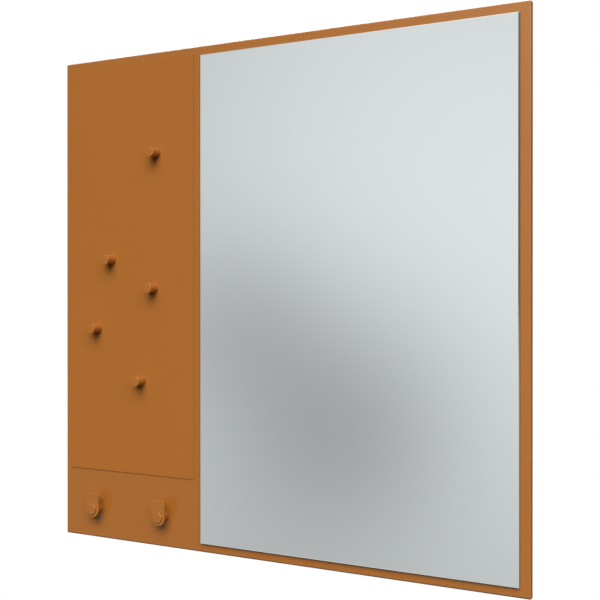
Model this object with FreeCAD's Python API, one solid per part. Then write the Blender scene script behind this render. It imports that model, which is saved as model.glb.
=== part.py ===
"""Square wall panel with a mirror, a magnetic notice board with five pins, and two coat hooks.

The panel hangs on a Z-shaped wall rail. Millimetres, +Z up, the front faces -Y, +Y points into the wall.
The origin is on the wall, at the middle of the wall rail's row of screw holes.
"""
import FreeCAD, Part
import math
import os

from FreeCAD import Vector

# Panel
panel_width = 696.0
panel_height = 696.0
panel_thickness = 8.0
panel_edge_round = 1.6
panel_top_above_screws = 90.0

# Mirror: silvered glass, a safety film behind it and strips of tape that hold it on the panel
mirror_width = 443.0
mirror_margin = 13.0
mirror_thickness = 4.0
mirror_arris = 1.0
film_thickness = 0.2
film_inset = 1.5
tape_thickness = 0.8
tape_width = 19.0
tape_count = 5
tape_side_inset = 18.0
tape_end_inset = 20.0

# Notice board: lacquered steel sheet on a film of adhesive
board_margin = 9.5
board_mirror_gap = 13.0
board_thickness = 1.0
board_corner_radius = 1.5
adhesive_thickness = 0.2
adhesive_inset = 4.0
hook_strip_height = 99.0

# Magnetic pins, placed by their shares of the board's width (from the left) and height (from the top)
pin_radius = 7.0
pin_length = 17.0
pin_front_round = 0.6
pin_base_chamfer = 0.4
pin_seat_gap = 0.1
pin_places = ((0.711, 0.226), (0.349, 0.480), (0.693, 0.550), (0.232, 0.649), (0.595, 0.774))
magnet_radius = 5.0
magnet_thickness = 4.0
magnet_clearance = 0.1
magnet_recess = 0.2

# Coat hooks, placed by their shares of the bay between the panel's left edge and the mirror
hook_places_across = (0.252, 0.736)
hook_axis_height = 43.7
post_radius = 7.4
post_length = 13.4
post_foot_chamfer = 0.4
spigot_radius = 4.5
spigot_across_flats = 7.0
spigot_clearance = 0.1
tab_radius = 11.5
tab_height = 34.7
tab_thickness = 2.5
tab_corner_radius = 1.2
tab_edge_round = 0.4
button_radius = 7.4
button_thickness = 2.0
button_edge_round = 0.5
stud_radius = 2.5
stud_length = 7.0
thread_clearance = 0.1
stud_end_gap = 0.5

# Hook screws, from behind the panel
hook_screw_radius = 2.5
hook_screw_grip = 5.0
hook_screw_head_radius = 4.5
hook_screw_head_height = 2.8
hook_screw_head_sink = 0.4
hook_screw_hole_clearance = 0.2
hook_screw_socket_sides = 6
hook_screw_socket_width = 3.0
hook_screw_socket_depth = 1.5

# Hanging rails
rail_thickness = 2.5
rail_flange_height = 20.0
rail_lip_height = 10.0
rail_lead_in = 0.8
rail_slot_clearance = 0.7
rail_to_panel_gap = 0.3
rail_seat_gap = 0.1
panel_rail_length = 440.0
wall_rail_length = 400.0
wall_hole_radius = 2.6
wall_hole_end_inset = 20.0
wall_inner_spacing = 120.0

# Screws of the panel rail
rail_screw_radius = 2.0
rail_screw_head_radius = 3.8
rail_screw_head_height = 2.2
rail_screw_hole_clearance = 0.2
rail_screw_count = 5
rail_screw_end_inset = 20.0
rail_screw_floor = 1.5
rail_screw_end_gap = 0.3

# Spacer pads at the lower corners of the back
pad_radius = 12.0
pad_edge_chamfer = 1.0
pad_from_side = 30.0
pad_from_bottom = 30.0

FRONT = Vector(0, -1, 0)
BACK = Vector(0, 1, 0)
SAME_DEPTH = 1e-6

# Depths: the rails set how far the panel's back stands off the wall
rail_slot = rail_thickness + rail_slot_clearance
standoff = rail_slot + rail_thickness + rail_to_panel_gap
panel_back_y = -standoff
panel_front_y = panel_back_y - panel_thickness
film_back_y = panel_front_y - tape_thickness
mirror_back_y = film_back_y - film_thickness
board_back_y = panel_front_y - adhesive_thickness
board_front_y = board_back_y - board_thickness

# Heights and sides
panel_left = -panel_width / 2
panel_right = panel_width / 2
panel_top = panel_top_above_screws
panel_bottom = panel_top - panel_height
mirror_height = panel_height - 2 * mirror_margin
mirror_right = panel_right - mirror_margin
mirror_left = mirror_right - mirror_width
mirror_bottom = panel_bottom + mirror_margin
mirror_top = mirror_bottom + mirror_height
board_left = panel_left + board_margin
board_width = mirror_left - board_mirror_gap - board_left
board_top = panel_top - board_margin
board_bottom = panel_bottom + hook_strip_height
board_height = board_top - board_bottom
hook_z = panel_bottom + hook_axis_height

# Where the panel rail sits when it hangs on the wall rail
wall_web_top = rail_flange_height / 2
panel_web_bottom = wall_web_top + rail_lip_height + rail_seat_gap
panel_rail_flange_middle = panel_web_bottom + (rail_thickness + rail_flange_height) / 2


def block(left, right, back, front, bottom, top):
    """Box between two sides, two depths and two heights."""
    return Part.makeBox(right - left, back - front, top - bottom, Vector(left, front, bottom))


def rod(radius, length, x, y, z, direction):
    return Part.makeCylinder(radius, length, Vector(x, y, z), direction)


def edges_in_plane(shape, y):
    """Edges that lie wholly at one depth."""
    return [e for e in shape.Edges if max(abs(e.BoundBox.YMin - y), abs(e.BoundBox.YMax - y)) < SAME_DEPTH]


def evenly(first, last, count):
    step = (last - first) / (count - 1)
    return [first + step * i for i in range(count)]


def turned(points_and_arcs):
    """Solid of revolution about the Y axis from (radius, depth in front) points; three points make an arc."""
    edges = []
    for piece in points_and_arcs:
        corners = [Vector(radius, -depth, 0) for radius, depth in piece]
        if len(corners) == 3:
            edges.append(Part.Arc(*corners).toShape())
        else:
            edges.append(Part.makeLine(*corners))
    face = Part.Face(Part.Wire(edges))
    return face.revolve(Vector(0, 0, 0), BACK, 360)


def round_corner(radius, depth, size):
    """Middle and end point of a convex quarter round at the front rim of a turned piece."""
    inside = size * (1 - math.sqrt(0.5))
    return (radius - inside, depth - inside), (radius - size, depth)


def hook_places():
    bay_width = mirror_left - panel_left
    left, right = [panel_left + share * bay_width for share in hook_places_across]
    return {"left": left, "right": right}


def rail_screw_places():
    reach = panel_rail_length / 2 - rail_screw_end_inset
    return evenly(-reach, reach, rail_screw_count)


def make_base_panel():
    panel = block(panel_left, panel_right, panel_back_y, panel_front_y, panel_bottom, panel_top)
    panel = panel.makeFillet(panel_edge_round, panel.Edges)
    head_pocket_depth = hook_screw_head_height + hook_screw_head_sink
    for x in hook_places().values():
        pocket_radius = hook_screw_head_radius + hook_screw_hole_clearance
        panel = panel.cut(rod(pocket_radius, head_pocket_depth, x, panel_back_y, hook_z, FRONT))
        hole_radius = hook_screw_radius + hook_screw_hole_clearance
        panel = panel.cut(rod(hole_radius, panel_thickness, x, panel_back_y, hook_z, FRONT))
    pilot_depth = panel_thickness - rail_screw_floor
    for x in rail_screw_places():
        pilot_radius = rail_screw_radius + thread_clearance
        panel = panel.cut(rod(pilot_radius, pilot_depth, x, panel_back_y, panel_rail_flange_middle, FRONT))
    return panel


def make_notice_board():
    sheet = block(board_left, board_left + board_width, board_back_y, board_front_y, board_bottom, board_top)
    corners = [e for e in sheet.Edges if e.BoundBox.YLength > board_thickness / 2]
    return sheet.makeFillet(board_corner_radius, corners)


def make_board_adhesive():
    return block(board_left + adhesive_inset, board_left + board_width - adhesive_inset, panel_front_y,
                 board_back_y, board_bottom + adhesive_inset, board_top - adhesive_inset)


def make_mirror_pane():
    front_y = mirror_back_y - mirror_thickness
    pane = block(mirror_left, mirror_right, mirror_back_y, front_y, mirror_bottom, mirror_top)
    return pane.makeChamfer(mirror_arris, edges_in_plane(pane, front_y))


def make_mirror_safety_film():
    return block(mirror_left + film_inset, mirror_right - film_inset, film_back_y, mirror_back_y,
                 mirror_bottom + film_inset, mirror_top - film_inset)


def make_mirror_tape():
    strips = []
    first = mirror_left + tape_side_inset
    last = mirror_right - tape_side_inset - tape_width
    low = mirror_bottom + tape_end_inset
    high = mirror_top - tape_end_inset
    for left in evenly(first, last, tape_count):
        strips.append(block(left, left + tape_width, panel_front_y, film_back_y, low, high))
    return Part.makeCompound(strips)


def make_pin_knob():
    """Knob with a magnet pocket in its base; the base is at depth 0 on the Y axis."""
    pocket_radius = magnet_radius + magnet_clearance
    pocket_depth = magnet_thickness + magnet_recess
    rim_middle, rim_end = round_corner(pin_radius, pin_length, pin_front_round)
    rim_start = (pin_radius, pin_length - pin_front_round)
    return turned([
        [(pocket_radius, 0), (pin_radius - pin_base_chamfer, 0)],
        [(pin_radius - pin_base_chamfer, 0), (pin_radius, pin_base_chamfer)],
        [(pin_radius, pin_base_chamfer), rim_start],
        [rim_start, rim_middle, rim_end],
        [rim_end, (0, pin_length)],
        [(0, pin_length), (0, pocket_depth)],
        [(0, pocket_depth), (pocket_radius, pocket_depth)],
        [(pocket_radius, pocket_depth), (pocket_radius, 0)],
    ])


def make_pin_magnet():
    return rod(magnet_radius, magnet_thickness, 0, -magnet_recess, 0, FRONT)


def pin_positions():
    seat_y = board_front_y - pin_seat_gap
    for across, down in pin_places:
        yield Vector(board_left + across * board_width, seat_y, board_top - down * board_height)


def flatted_spigot(clearance, length):
    """Round spigot with two upright flats, which keeps the tab from turning."""
    radius = spigot_radius + clearance
    half = spigot_across_flats / 2 + clearance
    return rod(radius, length, 0, 0, 0, FRONT).common(block(-half, half, 0, -length, -radius, radius))


def make_hook_post():
    """Post with its foot at depth 0 on the Y axis, tapped from behind for the screw and from the front."""
    post = turned([
        [(0, 0), (post_radius - post_foot_chamfer, 0)],
        [(post_radius - post_foot_chamfer, 0), (post_radius, post_foot_chamfer)],
        [(post_radius, post_foot_chamfer), (post_radius, post_length)],
        [(post_radius, post_length), (0, post_length)],
        [(0, post_length), (0, 0)],
    ])
    spigot_length = tab_thickness - spigot_clearance
    spigot = flatted_spigot(0, spigot_length).translated(FRONT * post_length)
    post = post.fuse(spigot).removeSplitter()
    post = post.cut(rod(hook_screw_radius + thread_clearance, hook_screw_grip + stud_end_gap, 0, 0, 0, FRONT))
    stud_hole_depth = stud_length - tab_thickness + spigot_length + stud_end_gap
    front = post_length + spigot_length
    return post.cut(rod(stud_radius + thread_clearance, stud_hole_depth, 0, -front, 0, BACK))


def make_hook_tab():
    """Upright plate, square at the top; its round lower end is centred on the post."""
    top = tab_height - tab_radius
    r = tab_radius
    outline = Part.Wire([
        Part.Arc(Vector(-r, 0, 0), Vector(0, 0, -r), Vector(r, 0, 0)).toShape(),
        Part.makeLine(Vector(r, 0, 0), Vector(r, 0, top)),
        Part.makeLine(Vector(r, 0, top), Vector(-r, 0, top)),
        Part.makeLine(Vector(-r, 0, top), Vector(-r, 0, 0)),
    ])
    plate = Part.Face(outline).extrude(FRONT * tab_thickness)
    at_top = [e for e in plate.Edges if abs(e.BoundBox.ZMin - top) < SAME_DEPTH]
    corners = [e for e in at_top if e.BoundBox.YLength > tab_thickness / 2]
    plate = plate.makeFillet(tab_corner_radius, corners)
    rims = edges_in_plane(plate, 0) + edges_in_plane(plate, -tab_thickness)
    plate = plate.makeFillet(tab_edge_round, rims)
    return plate.cut(flatted_spigot(spigot_clearance, tab_thickness))


def make_hook_button():
    """Round button with a threaded stud behind it; its back face is at depth 0."""
    rim_middle, rim_end = round_corner(button_radius, button_thickness, button_edge_round)
    rim_start = (button_radius, button_thickness - button_edge_round)
    return turned([
        [(0, -stud_length), (stud_radius, -stud_length)],
        [(stud_radius, -stud_length), (stud_radius, 0)],
        [(stud_radius, 0), (button_radius, 0)],
        [(button_radius, 0), rim_start],
        [rim_start, rim_middle, rim_end],
        [rim_end, (0, button_thickness)],
        [(0, button_thickness), (0, -stud_length)],
    ])


def make_hook_screws():
    """Socket screws, sunk in the panel's back, that pull the posts against the panel's face."""
    screws = []
    head_pocket_depth = hook_screw_head_height + hook_screw_head_sink
    seat_y = panel_back_y - head_pocket_depth
    shank_length = panel_thickness - head_pocket_depth + hook_screw_grip
    for x in hook_places().values():
        head = rod(hook_screw_head_radius, hook_screw_head_height, x, seat_y, hook_z, BACK)
        shank = rod(hook_screw_radius, shank_length, x, seat_y, hook_z, FRONT)
        socket = prism(hook_screw_socket_sides, hook_screw_socket_width, hook_screw_socket_depth)
        socket.translate(Vector(x, seat_y + hook_screw_head_height, hook_z))
        screws.append(head.fuse(shank).removeSplitter().cut(socket))
    return Part.makeCompound(screws)


def prism(sides, across_flats, depth):
    """Regular prism about the Y axis, from depth 0 towards the front."""
    half_step = math.pi / sides
    corner = across_flats / 2 / math.cos(half_step)
    points = []
    for i in range(sides + 1):
        angle = 2 * half_step * i
        points.append(Vector(corner * math.cos(angle), 0, corner * math.sin(angle)))
    return Part.Face(Part.makePolygon(points)).extrude(FRONT * depth)


def rail_bar(length):
    """Z-shaped bar, its flange on the plane y = 0 below the web, its lip standing up in front of the slot."""
    t = rail_thickness
    lip_front = rail_slot + t
    profile = [
        (0, 0),
        (0, -rail_flange_height),
        (t, -rail_flange_height),
        (t, -t),
        (lip_front, -t),
        (lip_front, rail_lip_height),
        (rail_slot + rail_lead_in, rail_lip_height),
        (rail_slot, rail_lip_height - rail_lead_in),
        (rail_slot, 0),
        (0, 0),
    ]
    outline = Part.makePolygon([Vector(-length / 2, -depth, z) for depth, z in profile])
    return Part.Face(outline).extrude(Vector(length, 0, 0))


def make_wall_rail():
    rail = rail_bar(wall_rail_length)
    rail.translate(Vector(0, 0, wall_web_top))
    outer_spacing = wall_rail_length - 2 * wall_hole_end_inset
    for spacing in (outer_spacing, wall_inner_spacing):
        for x in (-spacing / 2, spacing / 2):
            rail = rail.cut(rod(wall_hole_radius, rail_thickness, x, 0, 0, FRONT))
    return rail


def make_panel_rail():
    """The same section turned half over, so that its lip drops behind the wall rail's lip."""
    rail = rail_bar(panel_rail_length)
    rail.rotate(Vector(0, 0, 0), Vector(1, 0, 0), 180)
    rail.translate(Vector(0, panel_back_y, panel_web_bottom))
    hole_radius = rail_screw_radius + rail_screw_hole_clearance
    for x in rail_screw_places():
        rail = rail.cut(rod(hole_radius, rail_thickness, x, panel_back_y, panel_rail_flange_middle, BACK))
    return rail


def make_rail_screws():
    screws = []
    seat_y = panel_back_y + rail_thickness
    shank_length = rail_thickness + panel_thickness - rail_screw_floor - rail_screw_end_gap
    for x in rail_screw_places():
        head = rod(rail_screw_head_radius, rail_screw_head_height, x, seat_y, panel_rail_flange_middle, BACK)
        shank = rod(rail_screw_radius, shank_length, x, seat_y, panel_rail_flange_middle, FRONT)
        screws.append(head.fuse(shank).removeSplitter())
    return Part.makeCompound(screws)


def make_spacer_pads():
    pads = []
    for x in (panel_left + pad_from_side, panel_right - pad_from_side):
        pad = rod(pad_radius, standoff, x, panel_back_y, panel_bottom + pad_from_bottom, BACK)
        pads.append(pad.makeChamfer(pad_edge_chamfer, edges_in_plane(pad, 0)))
    return Part.makeCompound(pads)


def all_pieces():
    pieces = {
        "wall_rail": make_wall_rail(),
        "panel_rail": make_panel_rail(),
        "rail_screws": make_rail_screws(),
        "spacer_pads": make_spacer_pads(),
        "base_panel": make_base_panel(),
        "board_adhesive": make_board_adhesive(),
        "notice_board": make_notice_board(),
        "mirror_tape": make_mirror_tape(),
        "mirror_safety_film": make_mirror_safety_film(),
        "mirror_pane": make_mirror_pane(),
        "hook_screws": make_hook_screws(),
    }
    for side, x in hook_places().items():
        foot = Vector(x, panel_front_y, hook_z)
        post_end = foot + FRONT * post_length
        pieces["hook_post_" + side] = make_hook_post().translated(foot)
        pieces["hook_tab_" + side] = make_hook_tab().translated(post_end)
        pieces["hook_button_" + side] = make_hook_button().translated(post_end + FRONT * tab_thickness)
    for number, seat in enumerate(pin_positions(), start=1):
        pieces["pin_knob_%d" % number] = make_pin_knob().translated(seat)
        pieces["pin_magnet_%d" % number] = make_pin_magnet().translated(seat)
    return pieces


os.makedirs("parts", exist_ok=True)
for node, shape in all_pieces().items():
    shape.exportStep("parts/%s.step" % node)
    print(node, "solids", len(shape.Solids), "valid", shape.isValid(), "volume %.1f" % shape.Volume)
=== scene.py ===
# %% [markdown]
# # A wall mirror with a notice board
# The solids of the panel, the glass, the steel board, the hooks and the magnetic pins come from CAD, in
# metres. This lesson gives them their finishes, adds the small screws that the solids leave plain, and
# lights and frames them as in the photograph.

# %% Bring in the solids
import math

import bpy
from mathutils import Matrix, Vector


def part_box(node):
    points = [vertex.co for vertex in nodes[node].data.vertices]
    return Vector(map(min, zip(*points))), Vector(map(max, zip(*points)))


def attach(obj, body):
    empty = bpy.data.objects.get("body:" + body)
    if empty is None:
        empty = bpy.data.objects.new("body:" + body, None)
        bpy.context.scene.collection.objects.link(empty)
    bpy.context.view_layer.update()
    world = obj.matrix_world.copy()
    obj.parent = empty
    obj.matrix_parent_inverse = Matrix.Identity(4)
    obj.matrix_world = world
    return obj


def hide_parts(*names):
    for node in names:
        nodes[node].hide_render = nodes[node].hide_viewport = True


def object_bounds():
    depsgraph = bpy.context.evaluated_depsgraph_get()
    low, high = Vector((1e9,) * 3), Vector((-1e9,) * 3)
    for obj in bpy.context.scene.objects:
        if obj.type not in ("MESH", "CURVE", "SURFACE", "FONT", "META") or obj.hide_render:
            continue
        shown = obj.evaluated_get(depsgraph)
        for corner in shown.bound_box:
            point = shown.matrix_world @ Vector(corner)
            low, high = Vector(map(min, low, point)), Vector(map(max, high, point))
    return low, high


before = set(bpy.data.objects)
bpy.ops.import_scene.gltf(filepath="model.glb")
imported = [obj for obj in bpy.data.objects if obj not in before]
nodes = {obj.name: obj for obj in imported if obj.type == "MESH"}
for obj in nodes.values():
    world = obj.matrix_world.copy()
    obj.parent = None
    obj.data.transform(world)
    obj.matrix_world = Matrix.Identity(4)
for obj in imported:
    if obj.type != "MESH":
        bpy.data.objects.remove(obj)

cad_box = [list(corner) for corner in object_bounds()]
print("CAD nodes:", len(nodes))
print("CAD box, mm:", [[round(1000 * v, 1) for v in corner] for corner in cad_box])

# %% [markdown]
# ## Where the photograph was taken
# The panel is square, so the slant of its upper and lower edges gives the distance and the lens. The
# camera stood to the right, level with the middle of the panel, and looked 27.9 degrees to the left and
# a hair down, because the upright edges come together a little towards the bottom. A small shift brings
# the panel to its place in the picture.

# %% Camera
camera_place = (0.6455, -1.148, -0.2512)
camera_turn = math.radians(27.9)
camera_dip = math.radians(0.13)
film_width = 36
lens = 59.1
frame_shift = (-0.0004, -0.0058)

bpy.ops.object.select_all(action="DESELECT")
bpy.ops.object.camera_add(location=camera_place, rotation=(math.radians(90) - camera_dip, 0, camera_turn))
camera = bpy.context.object
camera.name = "photo_camera"
camera.data.sensor_width = film_width
camera.data.lens = lens
camera.data.shift_x, camera.data.shift_y = frame_shift
bpy.context.scene.camera = camera
bpy.context.scene.view_settings.view_transform = "Standard"
print("lens, mm:", lens, "turned, degrees:", round(math.degrees(camera_turn), 1))

# %% [markdown]
# ## Wires
# Every finish below is made of nodes. Written out one by one they hide the idea, so one small class
# stands for a node's output: sums and products of such wires add Math nodes by themselves, and any other
# node comes from one method that takes its type, its settings and what goes into it.

# %% A wire between nodes
class Wire:
    """One output of a node. Arithmetic on wires adds Math nodes to the same tree."""

    def __init__(self, socket):
        self.socket = socket

    @classmethod
    def node(cls, tree, kind, settings=None, inputs=None, output=0):
        """Adds a node: first its settings, then the values and links of its inputs."""
        made = tree.nodes.new(kind)
        for name, value in (settings or {}).items():
            setattr(made, name, value)
        for name, value in (inputs or {}).items():
            if isinstance(value, Wire):
                tree.links.new(value.socket, made.inputs[name])
            else:
                made.inputs[name].default_value = value
        return cls(made.outputs[output]) if made.outputs else None

    def math(self, operation, first, second=0.0):
        """A Math node in this wire's tree."""
        inputs = {0: first, 1: second}
        return Wire.node(self.socket.id_data, "ShaderNodeMath", {"operation": operation}, inputs)

    def __add__(self, other):
        return self.math("ADD", self, other)

    def __radd__(self, other):
        return self.math("ADD", other, self)

    def __sub__(self, other):
        return self.math("SUBTRACT", self, other)

    def __rsub__(self, other):
        return self.math("SUBTRACT", other, self)

    def __mul__(self, other):
        return self.math("MULTIPLY", self, other)

    def __rmul__(self, other):
        return self.math("MULTIPLY", other, self)

    def __abs__(self):
        return self.math("ABSOLUTE", self)


def ramp_between(wire, low, high):
    """0 below low, 1 above high, with a soft start and end."""
    soft = {"interpolation_type": "SMOOTHSTEP"}
    limits = {"Value": wire, "From Min": low, "From Max": high}
    return Wire.node(wire.socket.id_data, "ShaderNodeMapRange", soft, limits)


print("wires ready")

# %% [markdown]
# ## The room and its light
# The photograph shows the panel cut out on white, so the room is seen only in the glass and the gloss.
# It could be built of walls and lamps, but a world of soft patches is enough, because everything in it
# is blurred. Each patch is 1 in one direction and fades out round it.

# %% Directions of the room
def soft_patch(tree, towards, azimuth, elevation, narrowness):
    """1 in one direction, in degrees to the left of the panel's front and up, fading out round it."""
    a, e = math.radians(azimuth), math.radians(elevation)
    middle = (-math.sin(a) * math.cos(e), -math.cos(a) * math.cos(e), math.sin(e))
    dot = {"operation": "DOT_PRODUCT"}
    nearness = Wire.node(tree, "ShaderNodeVectorMath", dot, {0: towards, 1: middle}, "Value")
    return nearness.math("EXPONENT", narrowness * (nearness - 1))


world = bpy.data.worlds.new("studio")
bpy.context.scene.world = world
world.use_nodes = True
room = world.node_tree
room.nodes.clear()
towards = Wire.node(room, "ShaderNodeTexCoord", output="Generated")
sideways, backwards, upwards = [
    Wire.node(room, "ShaderNodeSeparateXYZ", inputs={"Vector": towards}, output=axis) for axis in "XYZ"]
print("room nodes:", len(room.nodes))

# %% [markdown]
# The glass shows the side of the room that the camera has behind it: a pale wall with a broad darker
# place and a smaller grey one beside it. The silk lacquer reflects the same wall, blurred, which is why
# each hook has a dim mirror image beside it. A low glow at the left makes that image stand out. Each aim
# gives degrees to the left, degrees up, and how narrow the patch is.

# %% The wall behind the camera
wall_level, wall_rise = 0.10, 0.155
pale_gain, dark_loss, grey_loss, glow_gain = 0.705, 0.285, 0.139, 0.28
pale_aim = 15.9, 1.8, 5.0
dark_aim = 25.2, -7.1, 112.8
grey_aim = 31.5, -1.1, 235.8
glow_aim = 46, -13, 90

pale_wall = soft_patch(room, towards, *pale_aim)
dark_place = soft_patch(room, towards, *dark_aim)
grey_place = soft_patch(room, towards, *grey_aim)
low_glow = soft_patch(room, towards, *glow_aim)
plain_wall = wall_level + wall_rise * upwards + pale_gain * pale_wall
wall = plain_wall - dark_loss * dark_place - grey_loss * grey_place
print("wall level:", wall_level, "at its palest:", wall_level + pale_gain)

# %% [markdown]
# Two soft boxes, in front and above, are seen only from the right and upper margins, which pale towards
# the corner they share. The ground edge of the glass looks at a dim gap far to the side and at the
# floor, so it turns from dark to bright half way down. The fades are the two values of a direction's
# coordinate between which a box or the floor begins or ends.

# %% Soft boxes and floor
beside_level, above_level = 4.0, 2.2
floor_below_level, floor_beside_level = 0.75, 0.50
overhead_loss, gap_loss = 0.7, 0.85
front_fade, front_rise = (-0.85, -0.6), (-0.7, 0.6)
beside_left, beside_right = (-0.25, -0.10), (0.1, 0.3)
above_start, above_end = (0.27, 0.5), (0.6, 0.85)
above_left, above_right = (-0.65, -0.3), (0.5, 0.8)
floor_fade, horizon_fade, floor_left = (-0.6, -0.35), (-0.13, 0.06), (0.5, 0.8)
gap_left, gap_rise = (0.90, 0.95), (-0.05, 0.01)

box_front = (1 - ramp_between(backwards, *front_fade)) * ramp_between(upwards, *front_rise)
box_beside = ramp_between(sideways, *beside_left) * (1 - ramp_between(sideways, *beside_right)) * box_front
box_top = ramp_between(upwards, *above_start) * (1 - overhead_loss * ramp_between(upwards, *above_end))
box_above = box_top * ramp_between(sideways, *above_left) * (1 - ramp_between(sideways, *above_right))
floor_below = floor_below_level * (1 - ramp_between(upwards, *floor_fade))
below_horizon = 1 - ramp_between(upwards, *horizon_fade)
floor_beside = floor_beside_level * ramp_between(sideways, *floor_left) * below_horizon
floor_seen = floor_below.math("MAXIMUM", floor_below, floor_beside)
side_gap = ramp_between(sideways, *gap_left) * ramp_between(upwards, *gap_rise)
print("soft boxes:", beside_level, above_level, "floor:", floor_below_level, floor_beside_level)

# %% [markdown]
# Only gloss sees this room. Matt surfaces are lit by the lamps below and by a faint dome, and the camera
# sees plain white. The Light Path node tells the three apart.

# %% Put the world together
dome_level, dome_fade = 0.015, (0.0, 0.7)
plain_white = (1, 1, 1, 1)

dome = dome_level * ramp_between(upwards, *dome_fade)
seen_in_gloss = Wire.node(room, "ShaderNodeLightPath", output="Is Glossy Ray")
seen_by_camera = Wire.node(room, "ShaderNodeLightPath", output="Is Camera Ray")
surroundings = (wall + floor_seen) * (1 - gap_loss * side_gap)
reflected = surroundings + glow_gain * low_glow + beside_level * box_beside + above_level * box_above
unseen = dome + seen_in_gloss * (reflected - dome)
seen = unseen + seen_by_camera * (1 - unseen)
light = Wire.node(room, "ShaderNodeBackground", inputs={"Color": plain_white, "Strength": seen})
Wire.node(room, "ShaderNodeOutputWorld", inputs={"Surface": light})
print("room nodes:", len(room.nodes))

# %% [markdown]
# Under each pin the photograph is nearly black, and the top of the pin is as bright as the board, so the
# light is soft and comes from above. The shadows fall straight down with a weaker lobe to the left.
# Three broad lamps give this: one high, one at middle height and one further to the right. A fourth
# stands behind, for views of the back. Area lamps would do, but sun lamps are simpler: each has degrees
# to the right, degrees up, its width in degrees and its strength.

# %% Lamps
lamp_distance = 4
lamps = {
    "upper_lamp": (8, 52, 42, 1.15),
    "middle_lamp": (16, 37, 44, 2.1),
    "right_lamp": (46, 33, 44, 1.35),
    "back_lamp": (205, 40, 40, 2.5),
}


def soft_lamp(name, right, height, width, strength):
    """A far soft lamp, to the right of the panel's front and above it, as wide as the panel sees it."""
    r, h = math.radians(right), math.radians(height)
    source = Vector((math.sin(r) * math.cos(h), -math.cos(r) * math.cos(h), math.sin(h)))
    bpy.ops.object.select_all(action="DESELECT")
    bpy.ops.object.light_add(type="SUN", location=lamp_distance * source)
    lamp = bpy.context.object
    lamp.name = name
    lamp.rotation_mode = "QUATERNION"
    lamp.rotation_quaternion = (-source).to_track_quat("-Z", "Y")
    lamp.data.angle = math.radians(width)
    lamp.data.energy = strength
    print(name, "W/m2:", strength)


for lamp_name, settings in lamps.items():
    soft_lamp(lamp_name, *settings)

# %% [markdown]
# A panel like this hangs with its middle about 1.5 m above the floor, so a plain pale floor lies well
# below it. A backdrop could curve up behind the panel, but the white world does as much. The floor is
# white to the camera and leaves the glass to show the room.

# %% Floor
floor_drop = 1.2
floor_size = 12
floor_grey = (0.8, 0.8, 0.8, 1)

bpy.ops.object.select_all(action="DESELECT")
bpy.ops.mesh.primitive_plane_add(size=floor_size, location=(0, 0, cad_box[0][2] - floor_drop))
floor = bpy.context.object
floor.name = "floor"
floor.visible_glossy = False
floor.visible_diffuse = False

floor_paint = bpy.data.materials.new("floor_paint")
floor_paint.use_nodes = True
tree = floor_paint.node_tree
tree.nodes.clear()
matt = Wire.node(tree, "ShaderNodeBsdfDiffuse", inputs={"Color": floor_grey})
white = Wire.node(tree, "ShaderNodeEmission", inputs={"Color": plain_white, "Strength": 1.0})
to_camera = Wire.node(tree, "ShaderNodeLightPath", output="Is Camera Ray")
painted = Wire.node(tree, "ShaderNodeMixShader", inputs={0: to_camera, 1: matt, 2: white})
Wire.node(tree, "ShaderNodeOutputMaterial", inputs={"Surface": painted})
floor.data.materials.append(floor_paint)
print("floor at, m:", round(floor.location.z, 2))

# %% [markdown]
# ## Helpers for finishes
# A finish starts as an empty tree and ends in one Principled shader, which is put on the solids that
# share it.

# %% Start and close a finish
def new_finish(name):
    """A new material without nodes, and its tree."""
    finish = bpy.data.materials.new(name)
    finish.use_nodes = True
    finish.node_tree.nodes.clear()
    return finish, finish.node_tree


def close_finish(tree, **sockets):
    """One Principled shader, its sockets named with _ for a space, and the output."""
    shader = Wire.node(tree, "ShaderNodeBsdfPrincipled",
                       inputs={name.replace("_", " "): value for name, value in sockets.items()})
    Wire.node(tree, "ShaderNodeOutputMaterial", inputs={"Surface": shader})


def wear(finish, *names):
    """Puts a finish on CAD nodes in place of their plain one."""
    for name in names:
        nodes[name].data.materials.clear()
        nodes[name].data.materials.append(finish)
    print(finish.name, "on", ", ".join(names))


print("finishes can start")

# %% [markdown]
# Patterns read Object coordinates, which here are metres in the panel's own frame, so a scale of 600
# makes grains of about a millimetre and a half. A picture could be painted for each piece, but noise
# needs no seams and stays sharp at any distance.

# %% Patterns and tones
def place_on(tree, middle=(0, 0, 0), stretch=(1, 1, 1)):
    """Object coordinates from a middle, stretched for patterns that run one way."""
    where = Wire.node(tree, "ShaderNodeTexCoord", output="Object")
    moved = [-m * s for m, s in zip(middle, stretch)]
    mapping = {"Vector": where, "Location": moved, "Scale": stretch}
    return Wire.node(tree, "ShaderNodeMapping", inputs=mapping)


def along(tree, axis, middle=(0, 0, 0)):
    """One coordinate of the surface, in metres from a middle."""
    return Wire.node(tree, "ShaderNodeSeparateXYZ", inputs={"Vector": place_on(tree, middle)}, output=axis)


def grain(tree, scale, detail=2.0, stretch=(1, 1, 1)):
    """Noise from 0 to 1 about 0.5, its grains 1/scale metres apart."""
    inputs = {"Vector": place_on(tree, stretch=stretch), "Scale": scale, "Detail": detail}
    return Wire.node(tree, "ShaderNodeTexNoise", inputs=inputs, output="Fac")


def tone_between(tree, share, first, second):
    """Colour that goes from first to second as share goes from 0 to 1."""
    return Wire.node(tree, "ShaderNodeMix", {"data_type": "RGBA"}, {0: share, 6: first, 7: second}, 2)


def relief(tree, height, depth):
    """Surface normal bent by a height of 0 to 1 that stands for depth in metres."""
    return Wire.node(tree, "ShaderNodeBump", inputs={"Height": height, "Distance": depth})


print("patterns ready")

# %% [markdown]
# Flat pieces get rubbed along their rims first. The distance from the rim comes from the node's own box:
# half its width less the distance from its middle, and the smaller of that and the same upwards.

# %% Distance from the rim of a flat piece
patch_scale, patch_edge = 80, (0.45, 0.6)


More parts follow.
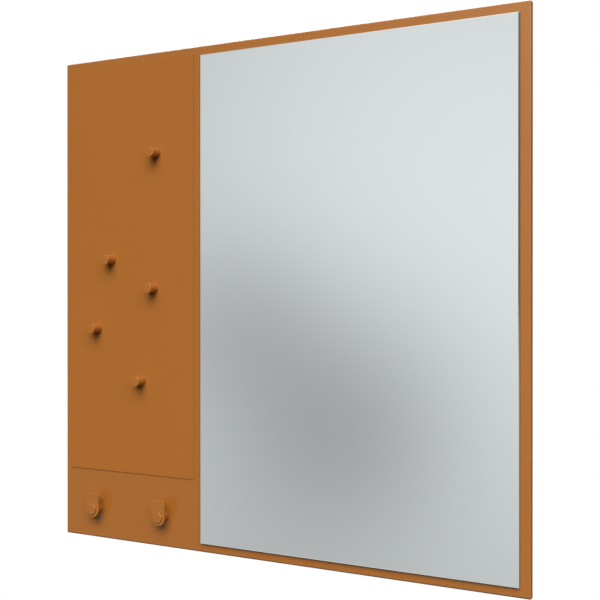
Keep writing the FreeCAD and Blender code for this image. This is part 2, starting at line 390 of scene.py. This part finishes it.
def from_rim(tree, name):
    """Metres inwards from the nearest side of a flat upright node."""
    low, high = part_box(name)
    middle = (low + high) / 2
    half = (high - low) / 2
    side = half.x - abs(along(tree, "X", middle))
    end = half.z - abs(along(tree, "Z", middle))
    return side.math("MINIMUM", side, end)


def rubbed_rim(tree, name, width):
    """1 along the front rim of a flat node, in patches, and 0 further in and further back."""
    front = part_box(name)[0].y
    near = 1 - ramp_between(from_rim(tree, name), 0.0, width)
    forward = 1 - ramp_between(along(tree, "Y"), front + width, front + 2 * width)
    return near * forward * ramp_between(grain(tree, patch_scale, 3), *patch_edge)


print("rims ready")

# %% [markdown]
# ## Sprayed lacquer
# Panel, steel board, hooks and pins wear the same silk lacquer in ochre. Sprayed lacquer dries with a
# faint orange peel, a soft ripple a millimetre or two across, and its tone drifts a little over the
# area. A mix of two close tones on a slow noise gives the drift, and a fine noise drives the ripple
# through a Bump node. The coat baked on the steel is matter: it carries less of the room's pale veil, so
# it is mixed a touch lighter to look the same.

# %% Ochre
panel_ochres = (0.360, 0.1225, 0.0185, 1), (0.374, 0.1285, 0.0200, 1)
steel_ochres = (0.378, 0.1330, 0.0245, 1), (0.392, 0.1390, 0.0260, 1)
ochre_rubbed = (0.43, 0.165, 0.040, 1)
rubbed_share = 0.25
warm_sheen = (0.96, 1.0, 0.85, 1)
drift_scale, mottle_scale, cloud_scale = 5, 420, 35
mottle_share = 0.2
cloud_depth, polish_depth = 0.05, 0.05


def ochre_tone(tree, ochres, rubbed):
    """Slow drift between two ochres with a faint fine mottle, paler where it is rubbed."""
    drift = (1 - mottle_share) * grain(tree, drift_scale, 2) + mottle_share * grain(tree, mottle_scale, 1)
    return tone_between(tree, rubbed_share * rubbed, tone_between(tree, drift, *ochres), ochre_rubbed)


def silk(tree, level, rubbed):
    """Roughness of the lacquer: cloudy, and smoother where it is rubbed."""
    return level + cloud_depth * (grain(tree, cloud_scale, 3) - 0.5) - polish_depth * rubbed


print("ochre ready")

# %% [markdown]
# ## The panel
# The panel is fibreboard. Its front and edges are lacquered and its back is only sealed, so the brown
# board shows there, with a margin of overspray that fades out about a centimetre from the rim. The depth
# coordinate parts front from back, and the distance from the rim, stirred by noise, makes the overspray.
# The fibres are fine noise drawn out two ways, under a slow mottle.

# %% Back of the panel
overspray_start, overspray_width, overspray_stir, overspray_scale = 0.001, 0.012, 0.010, 45
fibre_browns = (0.27, 0.165, 0.085, 1), (0.38, 0.245, 0.132, 1)
fibre_scale, fibre_stretch = 900, 0.35
slow_scale, slow_share = 30, 0.3
sealed_from, sealed_to = 0.0009, 0.0002

panel_low, panel_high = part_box("base_panel")
panel_back = panel_high.y
panel_finish, tree = new_finish("panel_lacquer")
behind = ramp_between(along(tree, "Y"), panel_back - sealed_from, panel_back - sealed_to)
margin = from_rim(tree, "base_panel") + overspray_stir * (grain(tree, overspray_scale, 3) - 0.5)
bare = behind * ramp_between(margin, overspray_start, overspray_width)
upright_fibres = grain(tree, fibre_scale, 4, (1, 1, fibre_stretch))
level_fibres = grain(tree, fibre_scale, 4, (fibre_stretch, 1, 1))
fibres = 0.5 * upright_fibres + 0.5 * level_fibres
mottle = (1 - slow_share) * fibres + slow_share * grain(tree, slow_scale, 3)
fibre_brown = tone_between(tree, ramp_between(mottle, 0.3, 0.7), *fibre_browns)
print("back of the panel at, mm:", round(1000 * panel_back, 1))

# %% [markdown]
# A dark brown line is painted along the panel's lower arris, in patches, as painted shade for its
# underside,
# and the lacquer there is made duller: the height above its lowest edge finds that line. The front gets
# the ochre, and both go into one shader, so that no seam shows at the rim.

# %% Front and edges of the panel
# Painted shade: a dark brown line along the lower arris, in patches, also duller there.
painted_shade_brown = (0.085, 0.040, 0.018, 1)
shade_line_from, shade_line_to, shade_patch_scale, shade_gap_share = 0.0013, 0.0024, 60, 0.25
rub_width = 0.0015
panel_silk, panel_sheen = 0.30, 0.5
dull_step = 0.2
panel_ripple_scale, panel_ripple_depth = 600, 0.000012

rubbed = rubbed_rim(tree, "base_panel", rub_width)
ripple = grain(tree, panel_ripple_scale, 2)
from_bottom = along(tree, "Z", panel_low)
# The painted shade line: dark brown near the bottom arris, a little patchy.
at_bottom = 1 - ramp_between(from_bottom, shade_line_from, shade_line_to)
shade_patches = ramp_between(grain(tree, shade_patch_scale, 3), 0.4, 0.6)
bottom_shade = at_bottom * (1 - shade_gap_share + shade_gap_share * shade_patches)
lacquered = tone_between(tree, bottom_shade, ochre_tone(tree, panel_ochres, rubbed), painted_shade_brown)
close_finish(tree, Base_Color=tone_between(tree, bare, lacquered, fibre_brown),
             Roughness=silk(tree, panel_silk, rubbed) + dull_step * bare + dull_step * bottom_shade,
             Specular_IOR_Level=panel_sheen, Specular_Tint=warm_sheen,
             Normal=relief(tree, ripple + bare * (fibres - ripple), panel_ripple_depth))
wear(panel_finish, "base_panel")

# %% [markdown]
# ## The steel board
# The notice board is thin sheet with the same lacquer baked on, so its ripple is finer. Pins and papers
# rub it a little, which shows as faint smoother clouds, and its cut rim is the first place to wear. A
# slow noise through a ramp makes the clouds without any drawing.

# %% Board
board_silk, board_sheen = 0.42, 0.15
board_rub_width = 0.001
board_ripple_scale, steel_ripple_depth = 900, 0.000009
handled_scale, handled_depth = 14, 0.015

board_finish, tree = new_finish("board_lacquer")
rubbed = rubbed_rim(tree, "notice_board", board_rub_width)
handled = ramp_between(grain(tree, handled_scale, 2), 0.5, 0.7)
close_finish(tree, Base_Color=ochre_tone(tree, steel_ochres, rubbed),
             Roughness=silk(tree, board_silk, rubbed) - handled_depth * handled,
             Specular_IOR_Level=board_sheen,
             Normal=relief(tree, grain(tree, board_ripple_scale, 2), steel_ripple_depth))
wear(board_finish, "notice_board")

# %% [markdown]
# ## Hooks and pins
# Each hook is a post, an upright plate and a clamping button, lacquered like the panel. Straps leave
# upright scuffs on them, and a noise drawn out upwards makes these on all six pieces at once.

# %% Hooks
hook_silk, hook_sheen = 0.36, 0.5
scuff_scale, scuff_share = 160, 0.3
small_ripple_scale = 1100

hook_finish, tree = new_finish("hook_lacquer")
scuffs = ramp_between(grain(tree, scuff_scale, 3, (1, 1, 0.3)), 0.6, 0.75)
close_finish(tree, Base_Color=ochre_tone(tree, panel_ochres, scuffs * scuff_share),
             Roughness=silk(tree, hook_silk, scuffs),
             Specular_IOR_Level=hook_sheen, Specular_Tint=warm_sheen,
             Normal=relief(tree, grain(tree, small_ripple_scale, 2), steel_ripple_depth))
for side in ("left", "right"):
    wear(hook_finish, "hook_post_" + side, "hook_tab_" + side, "hook_button_" + side)

# %% [markdown]
# Each pin is turned from bar. Fingers polish it round the rim of its front, so every pin gets its own
# finish, centred on its axis by a Mapping node: the worn ring is where the distance from the axis nears
# the radius and the depth nears the front. One finish for all would need a pattern that repeats, and the
# pins stand at no regular distance.

# %% Pins
pin_count = 5
pin_silk, pin_sheen = 0.38, 0.25
ring_start, ring_end = 0.86, 0.97
ring_depth = 0.0004, 0.0012
finger_scale = 300


def pin_finish(number):
    """Lacquer worn round the front rim of one pin."""
    low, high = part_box("pin_knob_%d" % number)
    axis_foot = Vector(((low.x + high.x) / 2, low.y, (low.z + high.z) / 2))
    radius = (high.x - low.x) / 2
    finish, tree = new_finish("pin_lacquer_%d" % number)
    across = along(tree, "X", axis_foot)
    up = along(tree, "Z", axis_foot)
    from_axis = across.math("SQRT", across * across + up * up)
    at_rim = ramp_between(from_axis, ring_start * radius, ring_end * radius)
    at_front = 1 - ramp_between(along(tree, "Y", axis_foot), *ring_depth)
    rubbed = at_rim * at_front * ramp_between(grain(tree, finger_scale, 2), 0.4, 0.6)
    close_finish(tree, Base_Color=ochre_tone(tree, steel_ochres, rubbed),
                 Roughness=silk(tree, pin_silk, rubbed), Specular_IOR_Level=pin_sheen,
                 Normal=relief(tree, grain(tree, small_ripple_scale, 2), steel_ripple_depth))
    return finish


for number in range(1, pin_count + 1):
    wear(pin_finish(number), "pin_knob_%d" % number)

# %% [markdown]
# ## Mirror
# Silvered float glass reflects about nine tenths of the light, a little less of the red. Its arris is
# ground and polished, so it is nearly as bright but less sharp, and the edge behind shows the deep green
# that float glass has from the side. Clear glass over a silver layer would be truer, but a metal shader
# shows the same and is simpler to light. The distance from the rim finds arris and edge, and the depth
# parts the one from the other.

# %% Mirror
arris, arris_blend = 0.001, 0.0001
silver_tone = (0.885, 0.935, 0.935, 1)
arris_tone = (0.90, 0.96, 0.94, 1)
side_tone = (0.10, 0.19, 0.16, 1)
silver_gloss, ground_gloss, ground_stir = 0.01, 0.06, 0.04
ground_bare, side_bare = 0.08, 0.72
ground_scale, ground_depth = 900, 0.00001
mirror_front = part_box("mirror_pane")[0].y

silver, tree = new_finish("silvered_glass")
rim = 1 - ramp_between(from_rim(tree, "mirror_pane"), arris - arris_blend, arris)
side_start = mirror_front + arris
side = rim * ramp_between(along(tree, "Y"), side_start, side_start + 2 * arris_blend)
ground = grain(tree, ground_scale, 2)
front_tone = tone_between(tree, rim, silver_tone, arris_tone)
close_finish(tree, Base_Color=tone_between(tree, side, front_tone, side_tone),
             Metallic=1 - ground_bare * rim - side_bare * side,
             Roughness=silver_gloss + ground_gloss * rim + ground_stir * rim * ground,
             Normal=relief(tree, rim * ground, ground_depth))
wear(silver, "mirror_pane")

# %% [markdown]
# ## Behind the glass and the board
# A safety film on the glass's back holds the pieces if it breaks, strips of foam tape hold the pane, and
# a film of adhesive holds the steel. They show only as thin lines between the layers, so a noise each is
# enough: drawn out two ways for the film's weave, fine for the cells of the foam, and drawn out upwards
# for the streaks of the adhesive.

# %% Film, tape and adhesive
film_tones = (0.48, 0.50, 0.51, 1), (0.60, 0.62, 0.63, 1)
foam_tones = (0.05, 0.05, 0.05, 1), (0.11, 0.11, 0.11, 1)
glue_tones = (0.66, 0.63, 0.55, 1), (0.78, 0.76, 0.69, 1)
weave_scale, cell_scale, streak_scale = 900, 2500, 500
weave_depth, cell_depth = 0.00003, 0.0001

film, tree = new_finish("safety_film")
weave = 0.5 * grain(tree, weave_scale, 1, (1, 1, 0.1)) + 0.5 * grain(tree, weave_scale, 1, (0.1, 1, 1))
close_finish(tree, Base_Color=tone_between(tree, weave, *film_tones),
             Roughness=0.45 + 0.1 * weave, Normal=relief(tree, weave, weave_depth))
wear(film, "mirror_safety_film")

foam, tree = new_finish("foam_tape")
cells = grain(tree, cell_scale, 3)
close_finish(tree, Base_Color=tone_between(tree, cells, *foam_tones),
             Roughness=0.8 + 0.15 * cells, Normal=relief(tree, cells, cell_depth))
wear(foam, "mirror_tape")

glue, tree = new_finish("adhesive_film")
streaks = grain(tree, streak_scale, 3, (1, 1, 0.2))
close_finish(tree, Base_Color=tone_between(tree, streaks, *glue_tones),
             Roughness=0.3 + 0.2 * streaks)
wear(glue, "board_adhesive")

# %% [markdown]
# ## Metal and rubber at the back
# The rails are extruded aluminium, with fine lines along their length and dull clouds where the mill
# finish has oxidised. Magnets are nickel plated, and the two spacer pads are black rubber with a grey
# bloom. Anisotropic gloss could draw the lines, but a noise stretched along the rail shows them from
# every side and also marks the tone.

# %% Rails, magnets and pads
aluminium_tones = (0.60, 0.61, 0.62, 1), (0.76, 0.77, 0.78, 1)
nickel_tones = (0.56, 0.55, 0.52, 1), (0.70, 0.69, 0.66, 1)
rubber_tones = (0.030, 0.030, 0.032, 1), (0.075, 0.075, 0.078, 1)
line_scale, oxide_scale, nickel_scale, bloom_scale = 1800, 25, 700, 1400
line_depth, nickel_depth, bloom_depth = 0.00002, 0.00001, 0.00005

aluminium, tree = new_finish("mill_aluminium")
draw_lines = grain(tree, line_scale, 2, (0.004, 1, 1))
clouds = grain(tree, oxide_scale, 3)
close_finish(tree, Base_Color=tone_between(tree, draw_lines, *aluminium_tones),
             Metallic=1.0, Roughness=0.26 + 0.14 * draw_lines + 0.12 * clouds,
             Normal=relief(tree, draw_lines, line_depth))
wear(aluminium, "wall_rail", "panel_rail")

nickel, tree = new_finish("nickel_plate")
haze = grain(tree, nickel_scale, 3)
close_finish(tree, Base_Color=tone_between(tree, haze, *nickel_tones),
             Metallic=1.0, Roughness=0.18 + 0.18 * haze, Normal=relief(tree, haze, nickel_depth))
wear(nickel, *["pin_magnet_%d" % number for number in range(1, pin_count + 1)])

rubber, tree = new_finish("firm_rubber")
bloom = grain(tree, bloom_scale, 3)
close_finish(tree, Base_Color=tone_between(tree, bloom, *rubber_tones),
             Roughness=0.65 + 0.25 * bloom, Normal=relief(tree, bloom, bloom_depth))
wear(rubber, "spacer_pads")

# %% [markdown]
# ## Screws
# The solids leave the screws plain, because a cross recess is too small for them. They are zinc-plated
# steel, bright with a faint spangle, and one noise gives the spangle to tone and gloss alike.

# %% Zinc
zinc_tones = (0.46, 0.47, 0.49, 1), (0.62, 0.63, 0.65, 1)
spangle_scale, plating_scale, plating_depth = 500, 2500, 0.00001

zinc, tree = new_finish("zinc_plate")
spangle = grain(tree, spangle_scale, 2)
close_finish(tree, Base_Color=tone_between(tree, spangle, *zinc_tones),
             Metallic=1.0, Roughness=0.24 + 0.16 * spangle,
             Normal=relief(tree, grain(tree, plating_scale, 2), plating_depth))
print(zinc.name, "ready")

# %% [markdown]
# Each kind of screw is modelled once, on the Y axis. A profile could be spun, but a cylinder takes fewer
# steps: it is the head, its lower face is inset and drawn out into the shank, and its upper rim is
# rounded by a bevel.

# %% Turn a screw
facing = 0.9
head_corners = 48
rounding_steps = 5


def pick_faces(piece, wanted):
    """Selects the faces that pass a test, and nothing else, in edit mode."""
    bpy.ops.object.mode_set(mode="EDIT")
    bpy.ops.mesh.select_mode(type="FACE")
    bpy.ops.mesh.select_all(action="DESELECT")
    bpy.ops.object.mode_set(mode="OBJECT")
    for face in piece.data.polygons:
        face.select = wanted(face)
    bpy.ops.object.mode_set(mode="EDIT")


def turn_screw(name, head_radius, head_height, shank_radius, shank_length, rounding):
    """A screw on the Y axis with its seat at y = 0, its head behind and its shank in front."""
    bpy.ops.object.select_all(action="DESELECT")
    bpy.ops.mesh.primitive_cylinder_add(vertices=head_corners, radius=head_radius, depth=head_height,
                                        location=(0, head_height / 2, 0), rotation=(math.radians(90), 0, 0))
    screw = bpy.context.object
    screw.name = name
    bpy.ops.object.transform_apply(location=True, rotation=True, scale=True)
    pick_faces(screw, lambda face: face.normal.y < -facing)
    bpy.ops.mesh.inset(thickness=head_radius - shank_radius)
    bpy.ops.mesh.extrude_region_move(TRANSFORM_OT_translate={"value": (0, -shank_length, 0)})
    pick_faces(screw, lambda face: face.normal.y > facing)
    bpy.ops.mesh.region_to_loop()
    bpy.ops.mesh.bevel(offset=rounding, segments=rounding_steps)
    bpy.ops.object.mode_set(mode="OBJECT")
    return screw


print("screws can be turned")

# %% [markdown]
# A recess is a bar taken out of the head by a Boolean modifier, which keeps the mesh closed. The
# finished screw is copied to every place that the solids give, and the copies, joined to one piece,
# stand for the plain ones.

# %% Cut a recess and set the screws out
smooth_below = math.radians(35)


def cut_away(piece, cutter):
    """Takes one closed mesh out of another and deletes the cutter."""
    bpy.ops.object.select_all(action="DESELECT")
    bpy.context.view_layer.objects.active = piece
    piece.select_set(True)
    difference = piece.modifiers.new("cut", "BOOLEAN")
    difference.operation = "DIFFERENCE"
    difference.solver = "EXACT"
    difference.object = cutter
    bpy.ops.object.modifier_apply(modifier=difference.name)
    bpy.data.objects.remove(cutter)


def set_out(piece, places, body, node):
    """Copies a piece, mesh and all, to its places, joins the copies and lets them stand for a CAD node."""
    copies = []
    for place in places:
        copy = piece.copy()
        copy.data = piece.data.copy()
        bpy.context.collection.objects.link(copy)
        copy.location = place
        copies.append(copy)
    name = piece.name
    bpy.data.objects.remove(piece)
    bpy.ops.object.select_all(action="DESELECT")
    for copy in copies:
        copy.select_set(True)
    bpy.context.view_layer.objects.active = copies[0]
    bpy.ops.object.transform_apply(location=True, rotation=True, scale=True)
    bpy.ops.object.join()
    joined = bpy.context.object
    joined.name = name
    bpy.ops.object.shade_smooth_by_angle(angle=smooth_below)
    joined.data.materials.clear()
    joined.data.materials.append(zinc)
    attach(joined, body)
    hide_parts(node)
    print(name, len(places), "pieces,", len(joined.data.polygons), "faces")


print("screws can be cut and set out")

# %% [markdown]
# Five pan-head screws hold the panel's rail. A tapered bar, cut twice, makes the cross in each head.

# %% Pan-head screws of the panel rail
rail_screw_count = 5
pan_height = 0.0022
pan_rounding = 0.0009
pan_shank_radius = 0.002
cross_length, cross_width, cross_depth = 0.0042, 0.0009, 0.0013
cross_taper = 0.5

low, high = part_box("rail_screws")
pan_radius = (high.z - low.z) / 2
pan_seat = high.y - pan_height
pan_screw = turn_screw("pan_head_screws", pan_radius, pan_height,
                       pan_shank_radius, pan_seat - low.y, pan_rounding)
for turn in (45, 135):
    bpy.ops.mesh.primitive_cube_add(size=1, location=(0, pan_height, 0),
                                    rotation=(0, math.radians(turn), 0),
                                    scale=(cross_length, 2 * cross_depth, cross_width))
    bar = bpy.context.object
    bpy.ops.object.transform_apply(location=True, rotation=True, scale=True)
    pick_faces(bar, lambda face: face.normal.y < -facing)
    bpy.ops.transform.resize(value=(cross_taper, 1, cross_taper))
    bpy.ops.object.mode_set(mode="OBJECT")
    cut_away(pan_screw, bar)
step = (high.x - low.x - 2 * pan_radius) / (rail_screw_count - 1)
rail_screw_places = [(low.x + pan_radius + step * i, pan_seat, (low.z + high.z) / 2)
                     for i in range(rail_screw_count)]
set_out(pan_screw, rail_screw_places, "panel", "rail_screws")

# %% [markdown]
# One socket screw comes through the panel into each hook's post. A six-sided bar with a blunt end makes
# the socket.

# %% Socket screws of the hooks
socket_head_height = 0.0028
socket_rounding = 0.0004
socket_shank_radius = 0.0025
socket_sides, socket_width, socket_depth = 6, 0.003, 0.0015

low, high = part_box("hook_screws")
socket_head_radius = (high.z - low.z) / 2
socket_seat = high.y - socket_head_height
socket_screw = turn_screw("socket_screws", socket_head_radius, socket_head_height,
                          socket_shank_radius, socket_seat - low.y, socket_rounding)
bpy.ops.mesh.primitive_cylinder_add(vertices=socket_sides, radius=socket_width / math.sqrt(3),
                                    depth=2 * socket_depth, location=(0, socket_head_height, 0),
                                    rotation=(math.radians(90), 0, 0))
key = bpy.context.object
bpy.ops.object.transform_apply(location=True, rotation=True, scale=True)
pick_faces(key, lambda face: face.normal.y < -facing)
bpy.ops.mesh.inset(thickness=socket_width / 4)
bpy.ops.transform.translate(value=(0, -socket_width / 6, 0))
bpy.ops.object.mode_set(mode="OBJECT")
cut_away(socket_screw, key)
hook_screw_places = [(x, socket_seat, (low.z + high.z) / 2)
                     for x in (low.x + socket_head_radius, high.x - socket_head_radius)]
set_out(socket_screw, hook_screw_places, "panel", "hook_screws")
